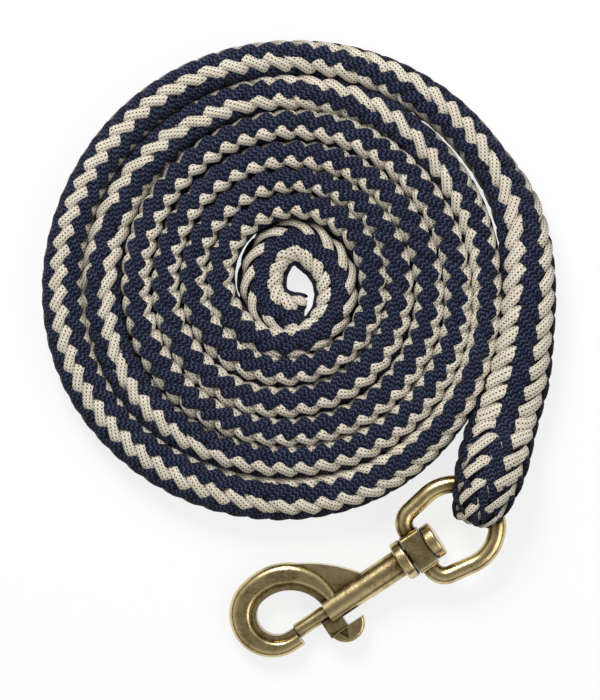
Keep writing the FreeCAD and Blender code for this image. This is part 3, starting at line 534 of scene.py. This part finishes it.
def brassMaterial(name, look):
    # antique brass: brighter in the open and in random patches, darkened as painted shade where the metal
    # closes in, with a fine cast grain
    material, nodes, links = newMaterial(name)

    def calc(kind, first, second=0.0, third=None, clamp=False):
        return sums(nodes, links, kind, first, second, third, clamp)

    # painted shade: ambient occlusion darkens the colour where the metal closes in; the noise patches and
    # specks added next are the brass's own uneven tone
    recessShadeAO = nodes.new("ShaderNodeAmbientOcclusion")
    recessShadeAO.inputs["Distance"].default_value = brass["paintedShadeWithin"]
    recessShadeAO.samples = 8
    shade = calc("POWER", recessShadeAO.outputs["AO"], brass["paintedShadePower"])
    for mark, last in ((brass["patches"], False), (brass["specks"], True)):
        uneven = calc("SUBTRACT", noiseOf(nodes, links, mark["scale"], mark["detail"]), mark["middle"])
        shade = calc("MULTIPLY_ADD", uneven, mark["share"], shade, clamp=last)
    shader = nodes["Principled BSDF"]
    stops = [(0.0, look["dark"]), (brass["mid"], look["mid"]), (1.0, look["light"])]
    links.new(colourRamp(nodes, links, shade, stops), shader.inputs["Base Color"])
    shader.inputs["Metallic"].default_value = 1.0
    wear, grain = brass["wear"], brass["grain"]
    worn = noiseOf(nodes, links, wear["scale"], wear["detail"])
    rough = calc("MULTIPLY_ADD", worn, wear["share"], look["rough"] - wear["share"] / 2)
    links.new(rough, shader.inputs["Roughness"])
    bump = nodes.new("ShaderNodeBump")
    bump.inputs["Distance"].default_value = grain["depth"]
    bump.inputs["Strength"].default_value = grain["strength"]
    links.new(noiseOf(nodes, links, grain["scale"], grain["detail"]), bump.inputs["Height"])
    links.new(bump.outputs[0], shader.inputs["Normal"])
    return material


def springMaterial():
    # drawn wire: bare steel with faint grey streaks
    material, nodes, links = newMaterial("springSteel")
    shader = nodes["Principled BSDF"]
    stops = [(0.3, (0.30, 0.30, 0.31)), (0.7, (0.55, 0.55, 0.56))]
    links.new(colourRamp(nodes, links, noiseOf(nodes, links, 800), stops), shader.inputs["Base Color"])
    shader.inputs["Metallic"].default_value = 1.0
    shader.inputs["Roughness"].default_value = 0.3
    return material


castBrass = brassMaterial("castBrass", brass["cast"])
boltBrass = brassMaterial("boltBrass", brass["bolt"])
finishes = {"snap_body": castBrass, "thumb_piece": castBrass, "swivel_ring": castBrass,
            "swivel_rivet": castBrass, "bolt": boltBrass, "bolt_spring": springMaterial()}
for node, material in finishes.items():
    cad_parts[node].data.materials.clear()
    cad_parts[node].data.materials.append(material)
print("metal", len(finishes), "pieces")

studio = {
    "middle": (-0.02404, 0.0773),  # of the view
    "viewHeight": 0.25,
    "distance": 1.25,
    "objectHeight": 0.008,  # where the view is that high
    "floorGlow": 0.8,  # share of the floor's look that is its own white
    "floorReach": 3.0,
    "sky": 0.42,
    # brightness of the soft box by height, from the horizon to overhead
    "skyBands": [(0.0, 0.10), (0.25, 0.25), (0.55, 1.6), (0.80, 1.1), (1.0, 0.45)],
    "key": {"place": (-0.30, 0.85, 0.80), "size": 0.45, "power": 11},
    "fill": {"place": (0.75, -0.30, 0.75), "size": 0.8, "power": 3.5},
}


def makeCamera():
    # straight down; lens = sensor x distance to the object / height of the view
    data = bpy.data.cameras.new("camera")
    data.sensor_width = 36
    data.lens = data.sensor_width * (studio["distance"] - studio["objectHeight"]) / studio["viewHeight"]
    data.clip_start = 0.01
    camera = bpy.data.objects.new("camera", data)
    camera.location = (*studio["middle"], studio["distance"])
    bpy.context.scene.collection.objects.link(camera)
    bpy.context.scene.camera = camera


def makeLamp(name, look):
    # a square lamp aimed at the middle of the view
    data = bpy.data.lights.new(name, "AREA")
    data.size = look["size"]
    data.energy = look["power"]
    lamp = bpy.data.objects.new(name, data)
    lamp.location = look["place"]
    aim = Vector((*studio["middle"], 0)) - Vector(look["place"])
    lamp.rotation_euler = aim.to_track_quat("-Z", "Y").to_euler()
    bpy.context.scene.collection.objects.link(lamp)


def makeFloor():
    # white to the eye and to reflections, and mostly lit by itself so that shadows stay faint
    mesh = bpy.data.meshes.new("floor")
    reach = studio["floorReach"]
    mesh.from_pydata([(-reach, -reach, 0), (reach, -reach, 0), (reach, reach, 0), (-reach, reach, 0)], [],
                     [(0, 1, 2, 3)])
    material, nodes, links = newMaterial("floor")
    shader = nodes["Principled BSDF"]
    shader.inputs["Base Color"].default_value = (0.9, 0.9, 0.9, 1)
    shader.inputs["Roughness"].default_value = 0.8
    rays = nodes.new("ShaderNodeLightPath")
    seen = sums(nodes, links, "MAXIMUM", rays.outputs["Is Camera Ray"], rays.outputs["Is Glossy Ray"])
    seen = sums(nodes, links, "MAXIMUM", seen, rays.outputs["Is Transmission Ray"])
    mix = nodes.new("ShaderNodeMixShader")
    links.new(sums(nodes, links, "MULTIPLY", seen, studio["floorGlow"]), mix.inputs[0])
    links.new(shader.outputs[0], mix.inputs[1])
    links.new(nodes.new("ShaderNodeEmission").outputs[0], mix.inputs[2])
    links.new(mix.outputs[0], nodes["Material Output"].inputs[0])
    mesh.materials.append(material)
    floor = bpy.data.objects.new("floor", mesh)
    bpy.context.scene.collection.objects.link(floor)


def makeSky():
    # white to the camera; for everything else a soft box: dim overhead, bright lower down
    world = bpy.data.worlds.new("studio")
    world.use_nodes = True
    nodes, links = world.node_tree.nodes, world.node_tree.links
    direction = nodes.new("ShaderNodeTexCoord")
    parts = nodes.new("ShaderNodeSeparateXYZ")
    links.new(direction.outputs["Generated"], parts.inputs[0])
    bands = [(place, (light, light, light)) for place, light in studio["skyBands"]]
    band = colourRamp(nodes, links, parts.outputs[2], bands)
    links.new(band, nodes["Background"].inputs[0])
    nodes["Background"].inputs[1].default_value = studio["sky"]
    white = nodes.new("ShaderNodeBackground")
    white.inputs[0].default_value = (1, 1, 1, 1)
    rays = nodes.new("ShaderNodeLightPath")
    mix = nodes.new("ShaderNodeMixShader")
    links.new(rays.outputs["Is Camera Ray"], mix.inputs[0])
    links.new(nodes["Background"].outputs[0], mix.inputs[1])
    links.new(white.outputs[0], mix.inputs[2])
    links.new(mix.outputs[0], nodes["World Output"].inputs[0])
    bpy.context.scene.world = world


makeCamera()
makeFloor()
makeSky()
for name in ("key", "fill"):
    makeLamp(name, studio[name])
bpy.context.scene.view_settings.view_transform = "Standard"
